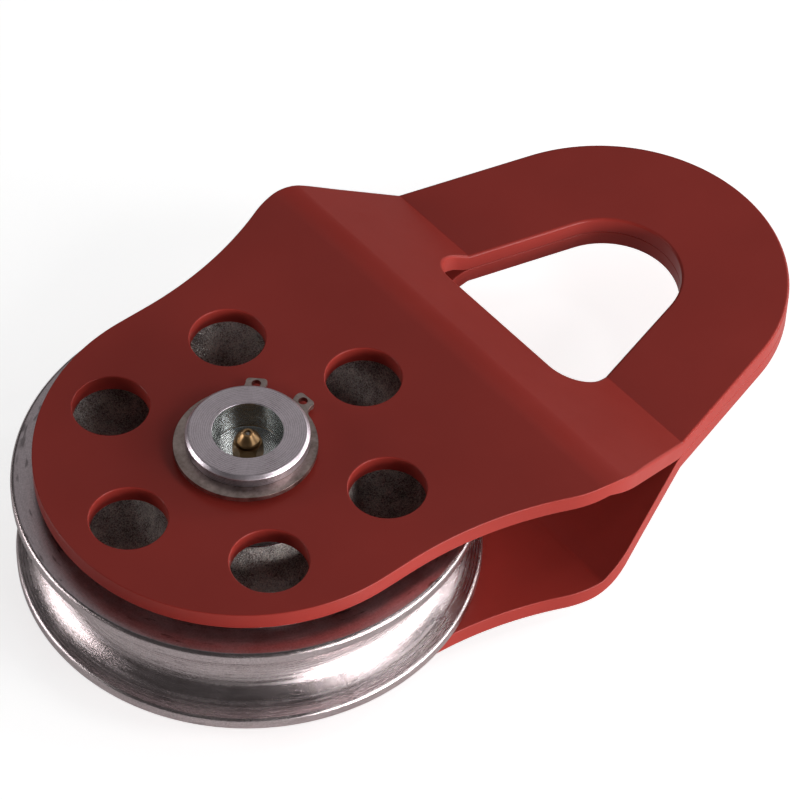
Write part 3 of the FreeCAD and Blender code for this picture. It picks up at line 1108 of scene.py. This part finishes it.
def valveSpring():
    spec = springSizes
    wire = spec["wireRadius"]
    centre = Vector((spec["coilRadius"], spec["foot"] + wire, 0))
    section = arcPoints(centre, wire, 0, 2 * math.pi, steps=14)[:-1]
    piece = drawPath("valveSpring", upright(section))
    dropFaces(piece)
    modifier = piece.modifiers.new("coil", "SCREW")
    modifier.screw_offset = (spec["head"] - spec["foot"] - 2 * wire) / spec["turns"]
    modifier.iterations = spec["turns"]
    modifier.steps = modifier.render_steps = 40
    applyModifier(piece, modifier)
    tidyMesh(piece)
    enterEdit(piece, "VERT")
    bpy.ops.mesh.fill_holes(sides=0)
    leaveEdit()
    tidyMesh(piece)
    smooth(piece, angle=50)
    return piece


spring = valveSpring()
finishPiece(spring, "axle", "spring_wire", washerSteel, "nipple_spring")
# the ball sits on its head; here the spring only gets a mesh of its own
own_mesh(spring)
print("valve spring made")


# CAD pieces that are right as they are get their finish

for nodeName, nodeMaterial in (("sheave_bush", bronze), ("upper_thrust_washer", washerSteel),
                               ("lower_thrust_washer", washerSteel), ("nipple_ball", washerSteel)):
    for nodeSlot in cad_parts[nodeName].material_slots:
        nodeSlot.material = nodeMaterial
print("inner pieces dressed")


# Floor, world, lights and camera

stageLook = {
    "floorSize": 6.0,
    "floorColour": (0.80, 0.80, 0.80),
    "floorRough": 0.9,
    "floorGlow": 0.68,
    "mirroredGlow": 0.08,
    "worldFill": 0.06,
}


def paleFloor():
    deselectAll()
    bpy.ops.mesh.primitive_plane_add(size=stageLook["floorSize"], location=(0, 0, 0))
    piece = bpy.context.object
    piece.name = "floor"
    material, tree, shader = newMaterial("paleFloor")
    shader.inputs["Base Color"].default_value = (*stageLook["floorColour"], 1)
    shader.inputs["Roughness"].default_value = stageLook["floorRough"]
    shader.inputs["Specular IOR Level"].default_value = 0.0
    # what the camera and the metal see is lifted to white; the shadow stays
    path = tree.nodes.new("ShaderNodeLightPath")
    seen = mathNode(tree, "MAXIMUM", path.outputs["Is Camera Ray"], path.outputs["Is Transmission Ray"])
    direct = mathNode(tree, "MULTIPLY", seen, stageLook["floorGlow"])
    mirrored = mathNode(tree, "MULTIPLY", path.outputs["Is Glossy Ray"], stageLook["mirroredGlow"])
    glow = mathNode(tree, "ADD", direct, mirrored)
    shader.inputs["Emission Color"].default_value = (1, 1, 1, 1)
    tree.links.new(glow, shader.inputs["Emission Strength"])
    piece.data.materials.append(material)


def dimWorld():
    world = bpy.data.worlds.new("studio")
    bpy.context.scene.world = world
    world.use_nodes = True
    background = next(node for node in world.node_tree.nodes if node.type == "BACKGROUND")
    background.inputs["Color"].default_value = (1, 1, 1, 1)
    background.inputs["Strength"].default_value = stageLook["worldFill"]


# azimuth and height are seen from the part, in degrees; a power is in watts
softBoxes = [
    {"name": "rightLow", "azimuth": -80, "height": 5, "wide": 0.60, "tall": 0.28, "power": 12.5},
    {"name": "rightHigh", "azimuth": -71, "height": 36, "wide": 0.36, "tall": 0.28, "power": 2.0},
    {"name": "endBox", "azimuth": 0, "height": 20, "wide": 0.50, "tall": 0.35, "power": 1.6},
    {"name": "endLow", "azimuth": -18, "height": 15, "wide": 0.24, "tall": 0.24, "power": 1.8},
    {"name": "cornerBox", "azimuth": -46, "height": 5, "wide": 0.35, "tall": 0.24, "power": 3.2},
    {"name": "leftBox", "azimuth": 140, "height": 16, "wide": 0.46, "tall": 0.38, "power": 3.2},
    {"name": "backTop", "azimuth": 54, "height": 50, "wide": 0.90, "tall": 0.70, "power": 0.64},
    {"name": "highBox", "azimuth": -36, "height": 58, "wide": 0.12, "tall": 0.12, "power": 0.45},
]
boxDistance = 1.1
boxTarget = Vector((0.03, 0, 0.03))


def softBox(spec):
    azimuth = math.radians(spec["azimuth"])
    height = math.radians(spec["height"])
    level = math.cos(height)
    away = Vector((math.cos(azimuth) * level, math.sin(azimuth) * level, math.sin(height)))
    deselectAll()
    bpy.ops.object.light_add(type="AREA", location=boxTarget + away * boxDistance)
    lamp = bpy.context.object
    lamp.name = spec["name"]
    lamp.rotation_euler = away.to_track_quat("Z", "Y").to_euler()
    lamp.data.shape = "RECTANGLE"
    lamp.data.size = spec["wide"]
    lamp.data.size_y = spec["tall"]
    lamp.data.energy = spec["power"]


cameraPlace = {
    "location": Vector((-0.38425, -0.50731, 0.78621)),
    "target": Vector((0.0532, 0.0030, 0.0273)),
    "roll": 0.0244,
    "lens": 171.76,
    "sensor": 36,
    "nearest": 0.05,
    "farthest": 20,
}


def photoCamera():
    spec = cameraPlace
    deselectAll()
    bpy.ops.object.camera_add(location=spec["location"])
    camera = bpy.context.object
    camera.name = "photoCamera"
    camera.data.lens = spec["lens"]
    camera.data.sensor_width = spec["sensor"]
    camera.rotation_mode = "QUATERNION"
    aim = (spec["target"] - spec["location"]).to_track_quat("-Z", "Y")
    camera.rotation_quaternion = aim @ Quaternion((0, 0, 1), spec["roll"])
    camera.data.clip_start = spec["nearest"]
    camera.data.clip_end = spec["farthest"]
    bpy.context.scene.camera = camera


paleFloor()
dimWorld()
for box in softBoxes:
    softBox(box)
photoCamera()
bpy.context.scene.view_settings.view_transform = "Standard"
print("stage, lights and camera set")
